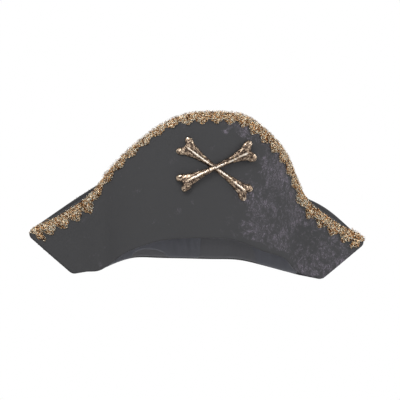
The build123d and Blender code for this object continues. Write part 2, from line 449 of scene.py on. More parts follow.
# ---- flaps ----
class Flap:
    """One flap as its packed velvet sheet says: its outline and the depth of its outer face."""

    SAMPLES = 641

    def __init__(self, node, side, pushes, hem_pushes=()):
        self.side = side
        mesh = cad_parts[node].data
        points = np.array([v.co for v in mesh.vertices])
        edges = np.array([e.vertices for e in mesh.edges])
        self.tip = points[:, 0].max() - 0.05 * MM
        turn = np.linspace(-math.pi / 2, math.pi / 2, self.SAMPLES)
        self.xs = self.tip * np.sin(turn)
        first, second = points[edges[:, 0]], points[edges[:, 1]]
        self.lows = np.empty(self.SAMPLES)
        self.highs = np.empty(self.SAMPLES)
        for i, x in enumerate(self.xs):
            crossed = (first[:, 0] - x) * (second[:, 0] - x) <= 0
            p, q = first[crossed], second[crossed]
            run = np.where(abs(q[:, 0] - p[:, 0]) < 1e-9, 1, q[:, 0] - p[:, 0])
            heights = p[:, 2] + np.clip((x - p[:, 0]) / run, 0, 1) * (q[:, 2] - p[:, 2])
            self.lows[i], self.highs[i] = heights.min(), heights.max()
        self.highs += self._bumps(pushes)
        self.lows += self._bumps(hem_pushes)
        self._read_depth(mesh)
        self._read_edge()

    def _bumps(self, pushes):
        """Each push is a smooth rise or dip of an edge: its middle, its half width and its height."""
        bumps = np.zeros(self.SAMPLES)
        for middle, half_width, push in pushes:
            share = np.clip((self.xs - middle) / half_width, -1, 1)
            bumps += push * np.cos(share * math.pi / 2) ** 2
        return bumps

    def _read_depth(self, mesh):
        """The sheet is straight from low to high, so two rays in each column give its whole depth."""
        tree = BVHTree.FromPolygons([v.co for v in mesh.vertices], [p.vertices for p in mesh.polygons])
        self.columns = np.linspace(0, 0.97 * self.tip, 90)
        self.base, self.lean = np.empty(90), np.empty(90)
        for i, x in enumerate(self.columns):
            low, high = self.span(x, 0)
            found = []
            for share in (0.12, 0.88):
                z = low + share * (high - low)
                hit = tree.ray_cast(Vector((x, self.side * 0.4, z)), Vector((0, -self.side, 0)))[0]
                found.append((z, abs(hit.y)))
            (z0, y0), (z1, y1) = found
            self.lean[i] = (y1 - y0) / (z1 - z0)
            self.base[i] = y0 - self.lean[i] * z0

    def _read_edge(self):
        """The upper edge from tip to tip, with even steps and its inward direction."""
        line = np.stack([self.xs, self.highs], 1)
        steps = distances(line)
        self.length = steps[-1]
        self.marks = np.linspace(0, self.length, 1200)
        self.edge = between(self.marks, steps, line)
        along = unit(np.gradient(self.edge, axis=0))
        kernel = np.hanning(31) / np.hanning(31).sum()
        padded = np.pad(along, ((15, 15), (0, 0)), mode="edge")
        along = unit(np.stack([np.convolve(padded[:, k], kernel, "valid") for k in (0, 1)], 1))
        self.inward = np.stack([along[:, 1], -along[:, 0]], 1)

    def span(self, x, inset):
        """Lowest and highest point of the outline at x, after shrinking the outline by the inset."""
        x = np.atleast_1d(x)
        low, high = np.full(x.shape, -9.0), np.full(x.shape, 9.0)
        for dx in np.linspace(-inset, inset, 25) if inset else (0.0,):
            reach = math.sqrt(max(inset * inset - dx * dx, 0))
            low = np.maximum(low, np.interp(x + dx, self.xs, self.lows) + reach)
            high = np.minimum(high, np.interp(x + dx, self.xs, self.highs) - reach)
        middle = (low + high) / 2
        low, high = np.minimum(low, middle), np.maximum(high, middle)
        return (low[0], high[0]) if len(x) == 1 else (low, high)

    def depth(self, x, z):
        base, lean = (np.interp(abs(x), self.columns, found) for found in (self.base, self.lean))
        return base + lean * z

    def ripple(self, x, z):
        """Soft waves in the cloth: shared by both flaps on the wings, each flap's own on its bell."""
        wings = smoothstep(0.13, 0.17, abs(x)) * (1 - smoothstep(0.195, 0.213, abs(x)))
        shared = 1.3 * MM * np.sin(x * 62 + z * 35 + 0.6) * wings
        bell = smoothstep(0.05, 0.13, z) * (1 - smoothstep(0.10, 0.14, abs(x)))
        own = 1.1 * MM * np.sin(x * 55 + self.side * 1.1) * bell
        return shared + own

    def point(self, x, z, out=0.0):
        """The point on the face at (x, z), moved out of the hat by out."""
        x, z = np.broadcast_arrays(np.asarray(x, float), np.asarray(z, float))
        y = self.side * (self.depth(x, z) + out) + self.ripple(x, z)
        return np.stack([x, y, z], -1)

    def normal(self, x, z):
        step = 0.5 * MM
        across = self.point(x + step, z) - self.point(x - step, z)
        up = self.point(x, z + step) - self.point(x, z - step)
        return unit(np.cross(across, up)) * -self.side

    def raised(self, x, z, height):
        """The point above (x, z), measured square to the face."""
        return self.point(x, z) + self.normal(x, z) * np.asarray(height)[..., None]

    def wrapped(self, u, d, height):
        """The point a height above the cloth, d from the upper edge along it; d runs round the edge."""
        u, d, height = np.broadcast_arrays(u, d, height)
        x, z = self.along_edge(u, np.maximum(d, EDGE_RADIUS))
        front = self.raised(x, z, height)
        turn = np.clip((EDGE_RADIUS - d) / EDGE_RADIUS, 0, math.pi)
        reach = EDGE_RADIUS + height
        inset = EDGE_RADIUS - reach * np.sin(turn) + np.maximum(-d - (math.pi - 1) * EDGE_RADIUS, 0)
        out = reach * np.cos(turn) - EDGE_RADIUS
        x, z = self.along_edge(u, inset)
        round_edge = self.point(x, z, out)
        away = unit(self.point(x, z, out + np.cos(turn) * MM) - round_edge + 1e-9)
        spot = np.where((d >= EDGE_RADIUS)[..., None], front, round_edge)
        x, z = self.along_edge(u, np.maximum(d, 0))
        return spot, np.where((turn > 1)[..., None], away, self.normal(x, z))

    def along_edge(self, u, d):
        """(x, z) a distance u along the upper edge and d inside it."""
        centre = between(u, self.marks, self.edge)
        inward = unit(between(u, self.marks, self.inward))
        past_tip = u - np.clip(u, 0, self.length)
        onward = np.stack([-inward[..., 1], inward[..., 0]], -1)
        spot = centre + inward * np.asarray(d)[..., None] + onward * past_tip[..., None]
        return spot[..., 0], spot[..., 1]

    def column_xs(self, count, inset):
        """x of each column, closest together where the upper edge is steep."""
        u = np.linspace(0, self.length, count)
        xs = np.interp(u, self.marks, self.edge[:, 0])
        xs = (xs - xs[::-1]) / 2
        return xs * (self.tip - inset) / self.tip

    def sheet_rows(self, columns, rows, inset, out):
        xs = self.column_xs(columns, inset)
        low, high = self.span(xs, inset)
        shares = np.linspace(0, 1, rows)[:, None]
        return np.concatenate([self.point(xs, low + (high - low) * share, out) for share in shares])

    def border(self, columns, inset, out):
        """One loop round the outline: along the foot, then back along the upper edge."""
        xs = self.column_xs(columns, inset)
        low, high = self.span(xs, inset)
        return np.concatenate([self.point(xs, low, out), self.point(xs[::-1], high[::-1], out)])


def wrapped_sheet(name, flap, material, columns, rows, wrap):
    """A sheet with loops added round its border. wrap lists (inset, out) for each loop."""
    verts = list(flap.sheet_rows(columns, rows, *wrap[0]))
    faces = grid_faces(rows, columns)
    ring = list(range(columns)) + list(reversed(range(len(verts) - columns, len(verts))))
    for inset, out in wrap[1:]:
        new = list(range(len(verts), len(verts) + 2 * columns))
        verts.extend(flap.border(columns, inset, out))
        for i in range(2 * columns):
            j = (i + 1) % (2 * columns)
            faces.append((ring[i], ring[j], new[j], new[i]))
        ring = new
    obj = make_mesh(name, verts, faces, material)
    with edited(obj.data) as work:
        bmesh.ops.remove_doubles(work, verts=work.verts, dist=0.02 * MM)
    return fix_normals(obj)


FRONT = Flap("front_flap_velvet", -1, FRONT_PUSHES, FRONT_HEM_PUSHES)
REAR = Flap("rear_flap_velvet", 1, REAR_PUSHES)


def flap_pieces(name, flap):
    """Velvet wrapped round the buckram, and a lining slip-stitched over its raw edge."""
    back = -FLAP_THICKNESS
    rounded = [
        (EDGE_RADIUS * (1 - math.sin(t)), EDGE_RADIUS * (math.cos(t) - 1))
        for t in np.linspace(0, math.pi, 7)
    ]
    turned_under = [(TURN_UNDER * 0.6, back), (TURN_UNDER, back)]
    velvet = wrapped_sheet(f"{name}_velvet", flap, VELVET, 300, 120, rounded + turned_under)
    crush(velvet, flap)
    finish_layer(velvet, CLOTH, "velvet", f"{name}_flap_velvet", flap, -TURN_UNDER)

    core = wrapped_sheet(f"{name}_buckram", flap, BUCKRAM, 120, 40, [(CORE_INSET, -0.6 * MM)])
    finish_layer(core, FLAP_THICKNESS - 1.3 * MM, "buckram", f"{name}_flap_core", flap, CORE_INSET)

    hemmed = [(LINING_INSET, back - 0.3 * MM), (LINING_INSET - 0.4 * MM, back - 0.1 * MM)]
    lining = wrapped_sheet(f"{name}_flap_lining_cloth", flap, BLACK_CLOTH, 200, 60, hemmed)
    finish_layer(lining, 0.25 * MM, "black_cloth", f"{name}_flap_lining", flap, LINING_INSET)

    slip_stitches(flap).build(f"{name}_slip_stitches", BLACK_THREAD, "black_thread")


def finish_layer(cloth, thickness, slot, node, flap, inset):
    """Thickens one layer of a flap and works out its flat size, the outline less the inset all round; the
    size is not used.
    """
    thicken(cloth, thickness)
    finish_piece(cloth, slot, node)
    xs = np.linspace(inset - flap.tip, flap.tip - inset, 400)
    low, high = flap.span(xs, max(inset, 0))
    area = (high - low).mean() * (xs[-1] - xs[0])
    if inset < 0:
        area += TURNED_STRIP * flap.length * -inset


def crush(cloth, flap):
    """The crushed pile stands up unevenly over the outer face, and each vertex keeps how much paler nap to
    show, partly crushed pattern and partly painted sheen.
    """
    mesh = cloth.data
    nap_and_sheen = []
    for vertex, normal in zip(mesh.vertices, mesh.vertex_normals):
        nap_and_sheen.append(float(nap_and_sheen_at(flap, vertex.co)))
        face = smoothstep(0.3, 0.8, normal.vector.y * flap.side)
        rise = noise.noise(vertex.co * 75) * 0.5 + noise.noise(vertex.co * 230) * 0.3
        vertex.co += normal.vector * float(rise * 0.45 * MM * face)
    keep_values(mesh, "nap_and_sheen", nap_and_sheen)


def nap_and_sheen_at(flap, co):
    """How much paler nap to show at a point, 0 to 1: random crushed patches on both flaps, and on the front
    a painted sheen, mostly on the side of +X.
    """
    broad = noise.noise(co * 24 + Vector((3.1, 0, 0)))
    ragged = noise.noise(co * 60) * 0.6 + noise.noise(co * 130) * 0.4
    if flap is REAR:
        return 0.75 * smoothstep(0.12, 0.55, broad + 0.3 * ragged)
    low, high = flap.span(co.x, 0)
    # Painted sheen on the front: paler towards +X, where the light falls, and on the top of the bell; kept
    # off the few millimetres above the hem and the band just under the lace on the right.
    to_side = smoothstep(14 * MM, 54 * MM, co.x + (30 * broad + 16 * ragged) * MM)
    over_hem = smoothstep(3 * MM, 9 * MM, co.z - low + 6 * ragged * MM)
    over_hem = max(over_hem, smoothstep(112 * MM, 125 * MM, co.x))
    under_lace = 1 - smoothstep(22 * MM, 14 * MM, high - co.z) * smoothstep(90 * MM, 120 * MM, co.x)
    bell_top = 0.8 * smoothstep(0.1, 0.4, broad + 0.4 * ragged) * smoothstep(100 * MM, 125 * MM, co.z)
    bell_top *= smoothstep(-10 * MM, 15 * MM, co.x)
    stray = 0.55 * smoothstep(0.3, 0.6, broad + 0.4 * ragged)
    return max(to_side * over_hem * under_lace * (0.85 + 0.35 * broad), bell_top, stray)


def slip_stitches(flap, pitch=5 * MM):
    """Slanting stitches over the lining's edge, all the way round the flap."""
    threads = Threads()
    inner = flap.border(220, LINING_INSET + 0.8 * MM, -FLAP_THICKNESS - 0.45 * MM)
    outer = flap.border(220, LINING_INSET - 1.2 * MM, -FLAP_THICKNESS - 0.12 * MM)
    steps = distances(inner)
    inwards = np.array([[0, -flap.side, 0]] * 3)
    for mark in np.arange(pitch, steps[-1] - pitch, pitch):
        start = between(mark, steps, inner)
        end = between(mark + 1.5 * MM, steps, outer)
        middle = (start + end) / 2 - np.array([0, flap.side * 0.2 * MM, 0])
        threads.add([start, middle, end], inwards, 0.22 * MM)
    return threads


flap_pieces("front", FRONT)
flap_pieces("rear", REAR)


# ---- lace ----
BRAID_WIDTH = 7.6 * MM
FOIL = 0.17 * MM             # half thickness of the flat metal thread
SCALLOPS = 14                # on each side of the middle one
LAST_SCALLOP = 4.5 * MM      # from the last scallop's middle to the tip
PETAL_FOOT = 6.2 * MM
# Each petal: lean from the inward direction, length, half width, all from a point inside the braid.
PETALS = [(0.0, 11.6 * MM, 3.5 * MM), (-0.78, 9.4 * MM, 3.3 * MM), (0.78, 9.4 * MM, 3.3 * MM)]


def petal_width(along):
    """Half width of a petal, as a share, from its foot (0) to its round tip (1)."""
    return np.sqrt(np.clip(np.sin(math.pi * along ** 1.5), 0, 1))


class Lace(Threads):
    """Metal lace along a flap's upper edge, drawn in (u, d, h): along, inside and above the edge."""

    def __init__(self, flap, overhang, laid):
        """laid: for each zone, the share of the lace's depth that is left, and how far inside the edge
        it starts, in millimetres."""
        super().__init__()
        self.flap = flap
        self.overhang = overhang
        self.laid = laid
        self.length = flap.length
        self.pitch = (flap.length / 2 - LAST_SCALLOP) / SCALLOPS

    def at(self, u, d, h):
        """A place on the lace, which is drawn in and turned over the edge by its own amount in each zone."""
        from_middle = abs(u - self.length / 2)
        on_left = u < self.length / 2
        bell = 1 - smoothstep(0.166, 0.186, from_middle)
        slope = smoothstep(0.02, 0.07, from_middle) * bell
        zones = {
            "top": bell - slope,
            "left": np.where(on_left, slope, 0),
            "right": np.where(on_left, 0, slope),
            "wing": bump_between(from_middle, 0.181, 0.2435, 0.011, 0.0185),
        }
        depth, start = 1.0, 0.0
        for zone, share in zones.items():
            zone_depth, zone_start = self.laid[zone]
            depth = depth + (zone_depth - 1) * share
            start = start + zone_start * MM * share
        return self.flap.wrapped(u, start + d * depth, h)

    def run(self, u, d, h, wide, thick=FOIL):
        path, normals = self.at(u, d, h)
        self.add(path, normals, wide, thick, sides=3)

    def stand(self, u, d, h, wide, thick):
        """A thread that stands straight out of the edge."""
        x, z = self.flap.along_edge(u, d)
        self.add(self.flap.point(x, z, h - EDGE_RADIUS), self.flap.normal(x, z), wide, thick, sides=3)

    def braid(self):
        """Flat strands plaited from edge to edge."""
        near, far = -self.overhang + 0.9 * MM, BRAID_WIDTH - 0.9 * MM
        middle, reach = (near + far) / 2, (far - near) / 2
        u = np.arange(0, self.length, 0.55 * MM)
        for strand, thread in product(range(4), (-0.4, 0.4)):
            angle = 2 * math.pi * u / (6.4 * MM) + strand * math.pi / 2
            d = middle + reach * np.arcsin(np.sin(angle)) * 2 / math.pi
            h = 0.75 * MM + 0.38 * MM * np.cos(2 * angle + 0.4)
            self.run(u + thread * MM, d, h, 0.34 * MM, 0.16 * MM)

    def cord(self, d, radius, lay):
        """A two-ply cord along the lace."""
        u = np.arange(0, self.length, lay / 6)
        for ply in (0, math.pi):
            turn = 2 * math.pi * u / lay + ply
            self.run(u, d + radius * np.cos(turn), 0.8 * MM + radius * np.sin(turn), radius, radius)

    def picots(self):
        """Small loops standing out along the outer edge, but lying flat along the wings."""
        turn = np.arange(0, self.length / (1.7 * MM) * 2 * math.pi, 2 * math.pi / 9)
        u = turn / (2 * math.pi) * 1.7 * MM + 0.75 * MM * np.sin(turn)
        from_middle = abs(u - self.length / 2)
        wing = bump_between(from_middle, 0.170, 0.245, 0.010)
        size = (1 + 0.45 * np.sin(turn * 0.137) * np.sin(turn * 0.041)) * (1 - wing)
        inset = (0.9 + 2.0 * wing) * MM
        d = inset - self.overhang - 0.6 * MM * (1 - np.cos(turn)) * size
        self.stand(u, d, 0.5 * MM * np.sin(turn * 0.61), 0.24 * MM, 0.18 * MM)

    def petal(self, u0, lean, length, half_width):
        """Loops one inside another, raised towards the middle, crossed by a zigzag."""
        for size in (1.0, 0.74, 0.46, 0.2):
            flank = np.linspace(-1, 1, 27)
            along = 1 - abs(flank)
            reach = along * length * (0.55 + 0.45 * size)
            width = np.sign(flank) * half_width * size * petal_width(along)
            width = width + np.array([rng.gauss(0, 0.16 * MM) for _ in along])
            lift = 0.5 * MM + 0.75 * MM * (1 - size) + np.array([rng.uniform(0, 0.4 * MM) for _ in along])
            self.lean_out(u0, lean, reach, width, lift, rng.uniform(0.3, 0.44) * MM)
        teeth = 15
        along = np.linspace(0.12, 0.93, teeth)
        width = half_width * 0.85 * petal_width(along) * (-1) ** np.arange(teeth)
        self.lean_out(u0, lean, along * length, width, np.full(teeth, 1.35 * MM), 0.3 * MM)

    def lean_out(self, u0, lean, reach, width, lift, wide):
        """Draws a path of a petal, given along and across a direction that leans from the inward one."""
        u = u0 + reach * math.sin(lean) + width * math.cos(lean)
        d = PETAL_FOOT + reach * math.cos(lean) - width * math.sin(lean)
        self.run(u, d, lift, wide)

    def arch(self, u0, base, radius, swing, lift):
        self.run(u0 + radius * np.sin(swing), base + radius * np.cos(swing), lift, 0.36 * MM)

    def size(self, step):
        """The last scallop at each tip is larger, and hangs round the corner."""
        return 1.3 if abs(step) == SCALLOPS else 1.0

    def scallop(self, u0, size):
        """Three petals under two arches."""
        for lean, length, half_width in PETALS:
            lean += rng.gauss(0, 0.05)
            self.petal(u0, lean, size * length * rng.uniform(0.93, 1.05), size * half_width)
        for radius in (3.4 * MM, 5.0 * MM):
            swing = np.linspace(-1.25, 1.25, 22)
            wobble = np.array([rng.uniform(0.1, 0.6) * MM for _ in swing])
            self.arch(u0, 5.8 * MM, radius, swing, 0.9 * MM + wobble)

    def link(self, u0):
        """The low arches between two scallops."""
        for radius in (1.6 * MM, 2.6 * MM, 3.5 * MM):
            swing = np.linspace(-1.5, 1.5, 14)
            self.arch(u0, 6.0 * MM, radius, swing, np.full(14, 0.8 * MM))

    def knots(self, spacing):
        """Knots of the boucle yarn, thrown over the header and the petals."""
        along = np.arange(-LAST_SCALLOP, self.length + LAST_SCALLOP, spacing)
        for u, d in product(along, np.arange(0, 23 * MM, spacing)):
            u += rng.uniform(-0.5, 0.5) * spacing
            d += rng.uniform(-0.5, 0.5) * spacing - self.overhang
            if self.covers(u, d):
                path, _ = self.at(np.array([u]), np.array([d]), rng.uniform(0.9, 1.7) * MM)
                self.knot(path[0], rng.uniform(0.45, 0.85) * MM)

    def covers(self, u, d):
        """True on the header and on any petal."""
        if d < BRAID_WIDTH - 0.5 * MM:
            return 0 < u < self.length
        step = round((u - self.length / 2) / self.pitch)
        size = self.size(step)
        across = u - self.length / 2 - step * self.pitch
        down = d - PETAL_FOOT
        for lean, length, half_width in PETALS:
            along = (across * math.sin(lean) + down * math.cos(lean)) / length / size
            aside = abs(across * math.cos(lean) - down * math.sin(lean)) / size
            if 0 < along < 1 and aside < half_width * petal_width(along):
                return abs(step) <= SCALLOPS
        return False

    def fuzz(self, start, end, count):
        """Stray ends of tinsel along the outer edge."""
        for _ in range(count):
            u0 = rng.uniform(start, end) * self.length
            reach = rng.uniform(1.5, 3.8) * MM
            curl = rng.gauss(0, 1.8) * MM
            t = np.linspace(0, 1, 6)
            d = 1.0 * MM - self.overhang - reach * t
            h = rng.gauss(0, 1.2) * MM * t * t
            self.stand(u0 + curl * t * t, d, h, 0.17 * MM, 0.1 * MM)


def lace(name, flap, overhang, laid, fuzz):
    trim = Lace(flap, overhang, laid)
    trim.braid()
    trim.cord(-overhang + 0.9 * MM, 0.42 * MM, 1.9 * MM)
    trim.cord(BRAID_WIDTH - 0.5 * MM, 0.42 * MM, 1.9 * MM)
    trim.picots()
    for step in range(-SCALLOPS, SCALLOPS + 1):
        u0 = trim.length / 2 + step * trim.pitch
        trim.scallop(u0, trim.size(step))
        if step < SCALLOPS:
            trim.link(u0 + trim.pitch / 2)
    trim.knots(1.5 * MM)
    for start, end, count in fuzz:
        trim.fuzz(start, end, count)
    trim.build(name, GOLD_YARN, "gold_lace", f"{name}_trim")


FRONT_LAID = {"top": (0.74, 0.4), "left": (0.46, 0.2), "right": (0.86, 0.2), "wing": (1.0, 3.9)}
REAR_LAID = dict.fromkeys(("top", "left", "right"), (0.95, 0.0)) | {"wing": (0.95, 1.0)}
lace("front_lace", FRONT, 1.2 * MM, FRONT_LAID, [(0.22, 0.55, 560), (0.55, 0.8, 760), (0.96, 0.995, 60)])
lace("rear_lace", REAR, -1.0 * MM, REAR_LAID, [(0.35, 0.65, 200)])


# ---- crossed bones ----
SHAFT = 3.5 * MM             # half width
OVER_TILT, OVER_LIFT, OVER_REACH = math.radians(26.2), 3.2 * MM, 46.6 * MM
UNDER_TILT, UNDER_LIFT, UNDER_REACH = math.radians(-34.5), 0.4 * MM, 48.6 * MM
LOBE_THICKNESS = 3.9 * MM    # half of it
# How far each bone is set off from the middle of its packed one, in X and Z.
OVER_SHIFT = (1.1 * MM, -0.3 * MM)
UNDER_SHIFT = (1.4 * MM, -0.2 * MM)
# Lobes of a bone's end: distance past the reach, distance across, half length and half width in
# millimetres, and splay in radians.
BROAD_END = [(-0.2, 7.6, 7.6, 5.4, 0.42), (-0.8, -7.6, 7.4, 5.9, -0.45)]
NARROW_END = [(-1.4, 6.1, 7.2, 5.0, 0.36), (-2.0, -6.2, 7.4, 5.1, -0.38)]
FORKED_END = [(-1.8, 7.2, 7.4, 4.8, 0.46), (-1.2, -7.0, 7.4, 4.9, -0.42)]


def shaft_radius(s, reach, spread):
    """Half width of the shaft, which flares evenly from near its middle out to the lobes."""
    straight = 8 * MM
    flare = np.clip((abs(s) - straight) / (reach - straight), 0, 1) ** 1.7
    return SHAFT + (spread + 4.0 * MM - SHAFT) * flare


def bone_blank(name, reach, ends):
    """Shaft and four lobes joined into one skin, in the bone's own axes: along, across, out."""
    rings, sides = 41, 20
    verts = []
    for s in np.linspace(-reach, reach, rings):
        first_lobe = ends[int(s > 0)][0]
        wide = shaft_radius(s, reach, first_lobe[1] * MM)
        thick = 0.25 * wide + 0.75 * SHAFT
        for k in range(sides):
            angle = 2 * math.pi * k / sides
            verts.append((s, wide * math.cos(angle), thick * math.sin(angle)))
    caps = [range(sides), range(len(verts) - sides, len(verts))]
    obj = make_mesh(name, verts, grid_faces(rings, sides, closed=True) + caps, ANTIQUE_GOLD)
    with edited(obj.data) as work:
        for end, lobes in zip((-1, 1), ends):
            for past, across, half_length, half_width, splay in lobes:
                lobe = (
                    Matrix.Translation((end * (reach + past * MM), across * MM, 0))
                    @ Matrix.Rotation(end * splay, 4, "Z")
                    @ Matrix.Diagonal((half_length * MM, half_width * MM, LOBE_THICKNESS, 1))
                )
                bmesh.ops.create_uvsphere(work, u_segments=24, v_segments=16, radius=1, matrix=lobe)
    fix_normals(obj)
    remesh = obj.modifiers.new("skin", "REMESH")
    remesh.mode = "VOXEL"
    remesh.voxel_size = 0.5 * MM
    relax(obj, 7)
    obj.data.materials.clear()
    obj.data.materials.append(ANTIQUE_GOLD)
    return obj


def relief_and_highlight(point, normal, reach, seed):
    """Cast relief at a point of a bone: its height, and how bright the metal is there, 0 to 1, from wear and
    from a painted highlight on the ridge and the lobes' outer faces.
    """
    past = abs(point.x) - reach
    shaft = 1 - smoothstep(-8 * MM, 0, past)
    wander = 0.5 * MM * math.sin(point.x * 90 + seed)
    shine = 0.7 + 0.6 * noise.noise(Vector((point.x * 60, seed, 0)))
    ridge = math.exp(-((point.y - wander) / (0.85 * MM)) ** 2) * shaft * shine * max(normal.z, 0)
    furrow = math.exp(-((abs(point.y - wander) - 2.3 * MM) / (0.8 * MM)) ** 2) * shaft
    cup = math.exp(-(point.y / (2.6 * MM)) ** 2 - (past / (3.0 * MM)) ** 2)
    knob_highlight = smoothstep(-1 * MM, 5 * MM, past) * max(normal.z, 0)
    drawn = Vector((point.x * 0.5 + seed, point.y, point.z))
    grain = noise.noise(drawn * 480) * 0.6 + noise.noise(drawn * 950) * 0.4
    pits = max(0.0, noise.noise(point * 640 + Vector((seed, 0, 0))) - 0.1)
    height = 0.55 * ridge - 0.25 * furrow - 0.5 * cup + 0.3 * grain - 0.9 * pits
    # Brightness: the ridge and knob terms paint a highlight on the outward faces; the grain, furrows, cup
    # and pits are the casting's own wear and dark hollows.
    wear_and_highlight = 0.34 + 0.62 * ridge - 0.2 * furrow - 0.25 * cup + 0.22 * knob_highlight + 0.5 * grain - 1.0 * pits
    return float(height) * MM, float(wear_and_highlight)


def bone_centre(node, shift):
    return sum(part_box(node), Vector()) / 2 + Vector((shift[0], 0, shift[1]))


def along_bone(centre, tilt, along, across):
    """(x, z) of a place given along and across a bone's shaft."""
    x = centre.x + along * math.cos(tilt) - across * math.sin(tilt)
    z = centre.z + along * math.sin(tilt) + across * math.cos(tilt)
    return x, z


def bone(name, node, centre, tilt, lift, reach, floor, ends):
    """floor(x, z) is the lowest height the bone may have above the flap."""
    obj = bone_blank(name, reach, ends)
    seed = lift * 900                # any number that isn't the same for both bones
    placed, worn_and_lit = [], []
    for vertex, normal in zip(obj.data.vertices, [n.vector.copy() for n in obj.data.vertex_normals]):
        height, wear_and_highlight = relief_and_highlight(vertex.co, normal, reach, seed)
        point = vertex.co + normal * height
        worn_and_lit.append(wear_and_highlight)
        placed.append((*along_bone(centre, tilt, point.x, point.y), point.z + lift))
    x, z, h = np.array(placed).T
    move_vertices(obj.data, FRONT.raised(x, z, np.maximum(h, floor(x, z))))
    # Stores the wear and the painted highlight for the material.
    keep_values(obj.data, "wear_and_highlight", worn_and_lit)
    shade_smooth(obj.data)
    finish_piece(obj, "antique_gold", node)


def on_velvet(x, z):
    return np.full(x.shape, 0.15 * MM)


def on_under_bone(x, z):
    """The over bone lies in a shallow seat on the under bone's shaft."""
    middle = bone_centre("bone_under", UNDER_SHIFT)
    across = (middle.x - x) * math.sin(UNDER_TILT) + (z - middle.z) * math.cos(UNDER_TILT)
    radius = SHAFT + 0.5 * MM
    crown = np.sqrt(np.maximum(radius ** 2 - across ** 2, 0)) + UNDER_LIFT
    return np.where(abs(across) < radius, crown, 0.15 * MM)


def tack(threads, centre, tilt, lift, along):
    """A few turns of thread over the shaft, down to the velvet on each side."""
    swing = np.linspace(-1.35, 1.35, 19)
    radius = SHAFT + 0.55 * MM
    for turn in (-0.5, 0.0, 0.5):
        across = radius * np.sin(swing)
        x, z = along_bone(centre, tilt, along + turn * MM + 0.2 * MM * np.sin(swing * 2), across)
        h = lift + radius * np.cos(swing)
        h[0] = h[-1] = 0.1 * MM
        threads.add(FRONT.raised(x, z, h), FRONT.normal(x, z), 0.17 * MM)


for part, shift, tilt, lift, reach, floor, ends in (
    ("under", UNDER_SHIFT, UNDER_TILT, UNDER_LIFT, UNDER_REACH, on_velvet, (FORKED_END, NARROW_END)),
    ("over", OVER_SHIFT, OVER_TILT, OVER_LIFT, OVER_REACH, on_under_bone, (NARROW_END, BROAD_END)),
):
    centre = bone_centre(f"bone_{part}", shift)
    bone(f"{part}_crossed_bone", f"bone_{part}", centre, tilt, lift, reach, floor, ends)
    loops = Threads()
    for along in (-22 * MM, 22 * MM):
        tack(loops, centre, tilt, lift, along)
    loops.build(f"{part}_bone_tacks", GOLD_THREAD, "gold_thread", f"bone_{part}_tacks")


# ---- wing seams ----
def wing_seam(name, sign):
    """Felt strip between the two linings along a wing's end, laced together with ladder stitches."""
    low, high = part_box(f"{name}_wing_seam")
    xs = np.linspace(min(abs(low.x), abs(high.x)) + 2 * MM, FRONT.tip - 6 * MM, 60) * sign
    rings = {FRONT: [], REAR: []}
    for inset in np.arange(7) * MM + 1.5 * MM:
        z, top = FRONT.span(xs, inset)
        for flap, rows in rings.items():
            rows.append(flap.point(xs, np.minimum(z, top), -FLAP_THICKNESS - 0.55 * MM))
    ring = rings[FRONT] + rings[REAR][::-1]
    verts = np.concatenate(ring)
    faces = grid_faces(len(ring), len(xs))
    last = len(verts) - len(xs)
    faces += [(last + c, last + c + 1, c + 1, c) for c in range(len(xs) - 1)]
    strip = fix_normals(make_mesh(f"{name}_seam_felt", verts, faces, BLACK_CLOTH))
    finish_piece(strip, "black_cloth", f"{name}_wing_seam")

    threads = Threads()
    for i, x in enumerate(np.arange(abs(xs[0]), abs(xs[-1]), 3.5 * MM) * sign):
        z = FRONT.span(x, 0.4 * MM)[0]
        lean = 0.8 * MM * (-1) ** i
        ends = [flap.point(x + lean * flap.side, z, -FLAP_THICKNESS + 0.6 * MM) for flap in (FRONT, REAR)]
        middle = (ends[0] + ends[1]) / 2 - np.array([0, 0, 0.5 * MM])
        threads.add([ends[0], middle, ends[1]], [[sign, 0, 0]] * 3, 0.25 * MM)
    threads.build(f"{name}_seam_stitches", BLACK_THREAD, "black_thread")


wing_seam("left", -1)
wing_seam("right", 1)


# ---- crown, its satin lining and the sweatband ----
CROWN_LOW = (130 * MM, 78 * MM)      # half length and half depth up to the level below
CROWN_HIGH = (88 * MM, 46 * MM)      # and at the top of the walls
CROWN_TURN = 6 * MM
CROWN_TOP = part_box("crown_top")[0].z
CROWN_WALL = 1.2 * MM
BAND_WIDTH = 31 * MM


def crown_size(z):
    share = np.clip((z - CROWN_TURN) / (CROWN_TOP - CROWN_TURN), 0, 1)
    return [low + (high - low) * share for low, high in zip(CROWN_LOW, CROWN_HIGH)]


def sideways(around):
    """A place round the crown as -1 to 1 from left to right. around is -1 to 1 on the front, and goes on
    from 1 to 3 back along the rear."""
    return np.where(around <= 1, around, 2 - around)


def hem_x(around):
    return CROWN_LOW[0] * np.sin(sideways(around) * math.pi / 2)


def crown_wall(around, z, inset):
    """Points of the wall."""
    side = np.where(around <= 1, -1, 1)
    turn = sideways(around) * math.pi / 2
    half_length, half_depth = crown_size(z)
    x = (half_length - inset) * np.sin(turn)
    round_part = (half_depth - inset) * np.cos(turn)
    flap_part = np.where(side < 0, FRONT.depth(x, z), REAR.depth(x, z)) - FLAP_THICKNESS - 0.6 * MM - inset
    depth = np.maximum(np.minimum(round_part, flap_part), 0)
    return np.stack([x, side * depth, z + 0 * x], -1)


def foot(around, above):
    """Height of the flaps' hems at a place round the crown, plus above."""
    x = hem_x(around)
    return np.where(around <= 1, FRONT.span(x, 0)[0], REAR.span(x, 0)[0]) + above


